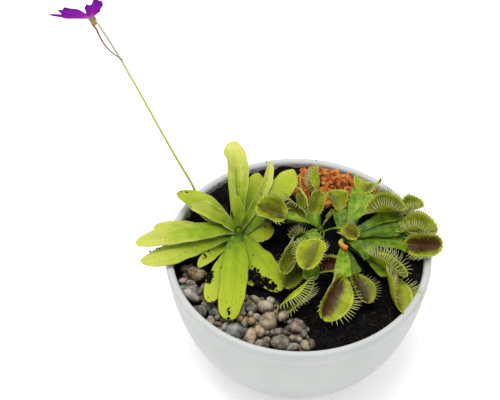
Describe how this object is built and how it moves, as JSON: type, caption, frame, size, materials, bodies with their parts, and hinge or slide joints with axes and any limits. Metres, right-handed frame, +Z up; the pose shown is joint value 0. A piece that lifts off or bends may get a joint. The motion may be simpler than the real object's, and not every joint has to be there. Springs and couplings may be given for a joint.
{
  "type": "potted carnivorous plant",
  "caption": "Butterwort in flower and Venus flytrap, planted with pebbles and fired clay in soil in a plain round bowl",
  "frame": {"origin": "middle of the bowl's flat base, on the surface it stands on", "axes": "+Z up, -Y towards the side that the picture is taken from, +X to the picture's right"},
  "size_m": [0.2752, 0.2, 0.3055],
  "materials": {
    "bowl": "matt pale grey-white glaze",
    "soil": "damp black peat",
    "pebble": "river-worn mixed gravel",
    "fired_clay": "unglazed broken fired clay",
    "butterwort_leaf": "fleshy yellow-green leaf with fine glands",
    "flower_stalk": "smooth green stalk",
    "calyx": "olive green",
    "petal": "soft purple petal",
    "flytrap_leaf": "firm green leaf, traps with a maroon inside",
    "dry_leaf": "dry straw",
    "cut_stub": "dry orange-green cut"
  },
  "bodies": {
    "root": {"bowl": "bowl", "soil": "soil", "pebbles": "pebble", "clay_granules": "fired_clay", "butterwort_crown": "butterwort_leaf", "butterwort_leaf_01": "butterwort_leaf", "butterwort_leaf_02": "butterwort_leaf", "butterwort_leaf_03": "butterwort_leaf", "butterwort_leaf_04": "butterwort_leaf", "butterwort_leaf_05": "butterwort_leaf", "butterwort_leaf_06": "butterwort_leaf", "butterwort_leaf_07": "butterwort_leaf", "butterwort_leaf_08": "butterwort_leaf", "butterwort_leaf_09": "butterwort_leaf", "butterwort_leaf_10": "butterwort_leaf", "butterwort_leaf_11": "butterwort_leaf", "butterwort_leaf_12": "butterwort_leaf", "butterwort_leaf_13": "butterwort_leaf", "butterwort_leaf_14": "butterwort_leaf", "butterwort_leaf_15": "butterwort_leaf", "butterwort_leaf_16": "butterwort_leaf", "butterwort_leaf_17": "butterwort_leaf", "flower_stalk": "flower_stalk", "flower_calyx": "calyx", "flower_corolla": "petal", "flytrap_crown_main": "flytrap_leaf", "flytrap_crown_side": "flytrap_leaf", "flytrap_leaf_01": "flytrap_leaf", "flytrap_leaf_02": "flytrap_leaf", "flytrap_leaf_03": "flytrap_leaf", "flytrap_leaf_04": "flytrap_leaf", "flytrap_leaf_05": "flytrap_leaf", "flytrap_leaf_06": "flytrap_leaf", "flytrap_leaf_07": "flytrap_leaf", "flytrap_leaf_08": "flytrap_leaf", "flytrap_leaf_09": "flytrap_leaf", "flytrap_leaf_10": "flytrap_leaf", "flytrap_leaf_11": "flytrap_leaf", "flytrap_leaf_12": "flytrap_leaf", "flytrap_leaf_13": "flytrap_leaf", "flytrap_leaf_14": "flytrap_leaf", "flytrap_leaf_15": "flytrap_leaf", "flytrap_leaf_16": "flytrap_leaf", "flytrap_leaf_17": "flytrap_leaf", "flytrap_leaf_18": "flytrap_leaf", "flytrap_leaf_19": "flytrap_leaf", "flytrap_leaf_20": "flytrap_leaf", "flytrap_leaf_21": "flytrap_leaf", "flytrap_leaf_22": "flytrap_leaf", "dry_strip_left": "dry_leaf", "dry_strip_right": "dry_leaf", "cut_stub": "cut_stub"}
  },
  "joints": []
}
